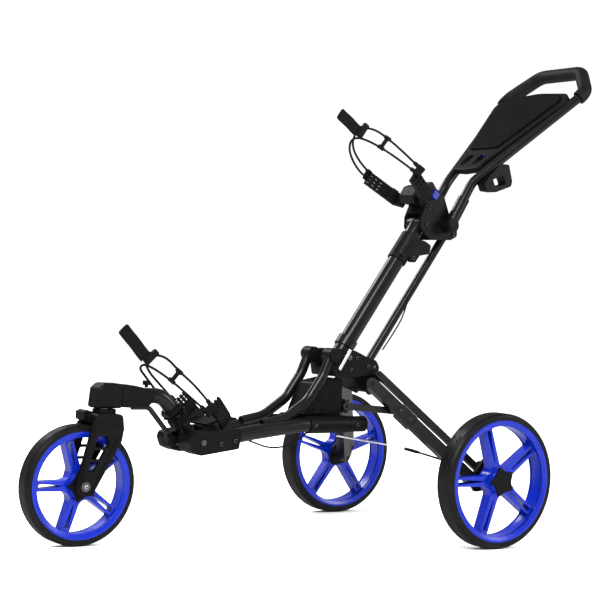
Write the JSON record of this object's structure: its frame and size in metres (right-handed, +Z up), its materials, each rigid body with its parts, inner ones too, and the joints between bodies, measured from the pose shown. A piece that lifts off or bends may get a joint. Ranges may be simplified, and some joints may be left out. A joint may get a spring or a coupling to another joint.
{
  "type": "golf push trolley",
  "caption": "Folding golf push trolley with a caster front wheel, cradle arms with elastic straps, hexagonal handle loop and scorecard console.",
  "frame": {"origin": "on the ground, in the middle of the footprint's bounding box", "axes": "+Z up, -X forward to the front wheel, +X back to the handle, -Y the trolley's left side"},
  "size_m": [1.3992, 0.644, 1.1045],
  "materials": {
    "tyre_black": "matte",
    "rim_blue": "gloss",
    "moulded_black": "matte",
    "cast_black": "satin",
    "frame_black": "satin",
    "steel": "brushed",
    "elastic_black": "matte",
    "cable_black": "satin",
    "grip_rubber": "matte",
    "cam_blue": "gloss"
  },
  "bodies": {
    "frame": {"base_casting": "cast_black", "lower_bag_cradle": "moulded_black", "lower_bag_arm_left": "moulded_black", "lower_bag_arm_right": "moulded_black", "bottom_tube_left": "frame_black", "bottom_tube_right": "frame_black", "tube_tail_cap_left": "moulded_black", "tube_tail_cap_right": "moulded_black", "bow_tube_left": "frame_black", "bow_tube_right": "frame_black", "hub_block": "cast_black", "centre_plate": "cast_black", "pivot_pins": "steel", "lower_bungee": "elastic_black", "lower_bungee_buckle": "moulded_black", "brake_cable": "cable_black"},
    "front_arm": {"front_stem_tube": "frame_black", "front_brace_rod": "frame_black", "front_head_housing": "moulded_black", "front_lock_knob": "moulded_black", "fork_stem_pin": "steel"},
    "fork": {"front_fork": "moulded_black", "fork_tracking_block": "moulded_black", "front_axle_bolt": "steel"},
    "front_wheel": {"front_tyre": "tyre_black", "front_rim": "rim_blue", "front_hub_cover": "moulded_black"},
    "main_tube": {"main_tube": "frame_black", "fold_collar": "moulded_black"},
    "fold_latch": {"fold_latch": "moulded_black"},
    "fold_rod": {"fold_rod": "frame_black"},
    "upper_block": {"upper_block": "cast_black", "upper_bag_bracket": "moulded_black", "upper_bag_arm_left": "moulded_black", "upper_bag_arm_right": "moulded_black", "upper_bungee": "elastic_black", "upper_bungee_buckle": "moulded_black"},
    "release_cam": {"release_cam": "cam_blue"},
    "handle": {"handle_frame": "frame_black", "handle_grip": "grip_rubber", "console_body": "moulded_black", "umbrella_mount": "moulded_black"},
    "console_lid": {"console_lid": "moulded_black"},
    "brake_pedal": {"brake_pedal": "moulded_black"},
    "rear_leg_left": {"rear_leg_left": "frame_black"},
    "leg_link_left": {"leg_link_left": "frame_black"},
    "leg_brace_left": {"leg_brace_left": "frame_black"},
    "wheel_bracket_left": {"wheel_bracket_left": "moulded_black", "rear_left_axle": "steel"},
    "rear_wheel_left": {"rear_left_tyre": "tyre_black", "rear_left_rim": "rim_blue", "rear_left_hub_cover": "moulded_black"},
    "rear_leg_right": {"rear_leg_right": "frame_black"},
    "leg_link_right": {"leg_link_right": "frame_black"},
    "leg_brace_right": {"leg_brace_right": "frame_black"},
    "wheel_bracket_right": {"wheel_bracket_right": "moulded_black", "rear_right_axle": "steel"},
    "rear_wheel_right": {"rear_right_tyre": "tyre_black", "rear_right_rim": "rim_blue", "rear_right_hub_cover": "moulded_black"}
  },
  "joints": [
    {"name": "front_fold", "type": "hinge", "parent": "frame", "child": "front_arm", "pos_m": [-0.3249, 0, 0.211], "axis": [0, -1, 0], "range_deg": [0, 80]},
    {"name": "fork_swivel", "type": "hinge", "parent": "front_arm", "child": "fork", "pos_m": [-0.5239, 0, 0.2], "axis": [0, 0, 1], "continuous": true},
    {"name": "front_wheel_spin", "type": "hinge", "parent": "fork", "child": "front_wheel", "pos_m": [-0.5769, 0, 0.1227], "axis": [0, 1, 0], "continuous": true},
    {"name": "main_fold", "type": "hinge", "parent": "frame", "child": "main_tube", "pos_m": [0.0531, 0, 0.392], "axis": [0, -1, 0], "range_deg": [0, 80]},
    {"name": "rod_fold", "type": "hinge", "parent": "frame", "child": "fold_rod", "pos_m": [0.1315, 0, 0.372], "axis": [0, -1, 0], "range_deg": [0, 80]},
    {"name": "upper_block_level", "type": "hinge", "parent": "main_tube", "child": "upper_block", "pos_m": [0.2637, 0, 0.7], "axis": [0, -1, 0], "range_deg": [-80, 0]},
    {"name": "fold_latch_press", "type": "hinge", "parent": "main_tube", "child": "fold_latch", "pos_m": [0.2331, -0.0243, 0.668], "axis": [0, 1, 0], "range_deg": [0, 8], "stiffness_Nm_per_rad": 0.5},
    {"name": "release_cam_turn", "type": "hinge", "parent": "upper_block", "child": "release_cam", "pos_m": [0.2791, -0.036, 0.768], "axis": [0, 1, 0], "range_deg": [0, 40]},
    {"name": "handle_fold", "type": "hinge", "parent": "upper_block", "child": "handle", "pos_m": [0.3191, 0, 0.7], "axis": [0, 1, 0], "range_deg": [-15, 75]},
    {"name": "console_lid_hinge", "type": "hinge", "parent": "handle", "child": "console_lid", "pos_m": [0.44745, 0, 0.88818], "axis": [0, -1, 0], "range_deg": [0, 90]},
    {"name": "brake_pedal_press", "type": "hinge", "parent": "wheel_bracket_left", "child": "brake_pedal", "pos_m": [0.2991, -0.247, 0.144], "axis": [0, 1, 0], "range_deg": [0, 14], "stiffness_Nm_per_rad": 2},
    {"name": "leg_fold_left", "type": "hinge", "parent": "frame", "child": "rear_leg_left", "pos_m": [0.1071, -0.06, 0.334], "axis": [0.4599, 0.8043, -0.3763], "range_deg": [0, 31.2]},
    {"name": "link_fold_left", "type": "hinge", "parent": "frame", "child": "leg_link_left", "pos_m": [0.1251, -0.06, 0.356], "axis": [0.4599, 0.8043, -0.3763], "range_deg": [0, 31.2]},
    {"name": "bracket_level_left", "type": "hinge", "parent": "rear_leg_left", "child": "wheel_bracket_left", "pos_m": [0.2551, -0.234, 0.143], "axis": [0.4599, 0.8043, -0.3763], "range_deg": [-31.2, 0]},
    {"name": "brace_fold_left", "type": "hinge", "parent": "frame", "child": "leg_brace_left", "pos_m": [0.0591, -0.03481, 0.284], "axis": [0.4599, 0.8043, -0.3763], "range_deg": [0, 19.2]},
    {"name": "rear_wheel_left_spin", "type": "hinge", "parent": "wheel_bracket_left", "child": "rear_wheel_left", "pos_m": [0.2731, -0.295, 0.146], "axis": [0, 1, 0], "continuous": true},
    {"name": "leg_fold_right", "type": "hinge", "parent": "frame", "child": "rear_leg_right", "pos_m": [0.1071, 0.06, 0.334], "axis": [-0.4599, 0.8043, 0.3763], "range_deg": [0, 31.2]},
    {"name": "link_fold_right", "type": "hinge", "parent": "frame", "child": "leg_link_right", "pos_m": [0.1251, 0.06, 0.356], "axis": [-0.4599, 0.8043, 0.3763], "range_deg": [0, 31.2]},
    {"name": "bracket_level_right", "type": "hinge", "parent": "rear_leg_right", "child": "wheel_bracket_right", "pos_m": [0.2551, 0.234, 0.143], "axis": [-0.4599, 0.8043, 0.3763], "range_deg": [-31.2, 0]},
    {"name": "brace_fold_right", "type": "hinge", "parent": "frame", "child": "leg_brace_right", "pos_m": [0.0591, 0.03481, 0.284], "axis": [-0.4599, 0.8043, 0.3763], "range_deg": [0, 19.2]},
    {"name": "rear_wheel_right_spin", "type": "hinge", "parent": "wheel_bracket_right", "child": "rear_wheel_right", "pos_m": [0.2731, 0.295, 0.146], "axis": [0, 1, 0], "continuous": true}
  ],
  "couplings": [
    {"joint": "rod_fold", "follows": "main_fold", "ratio": 1},
    {"joint": "upper_block_level", "follows": "main_fold", "ratio": -1},
    {"joint": "leg_fold_left", "follows": "main_fold", "ratio": 0.39},
    {"joint": "link_fold_left", "follows": "main_fold", "ratio": 0.39},
    {"joint": "bracket_level_left", "follows": "main_fold", "ratio": -0.39},
    {"joint": "brace_fold_left", "follows": "main_fold", "ratio": 0.24},
    {"joint": "leg_fold_right", "follows": "main_fold", "ratio": 0.39},
    {"joint": "link_fold_right", "follows": "main_fold", "ratio": 0.39},
    {"joint": "bracket_level_right", "follows": "main_fold", "ratio": -0.39},
    {"joint": "brace_fold_right", "follows": "main_fold", "ratio": 0.24}
  ]
}
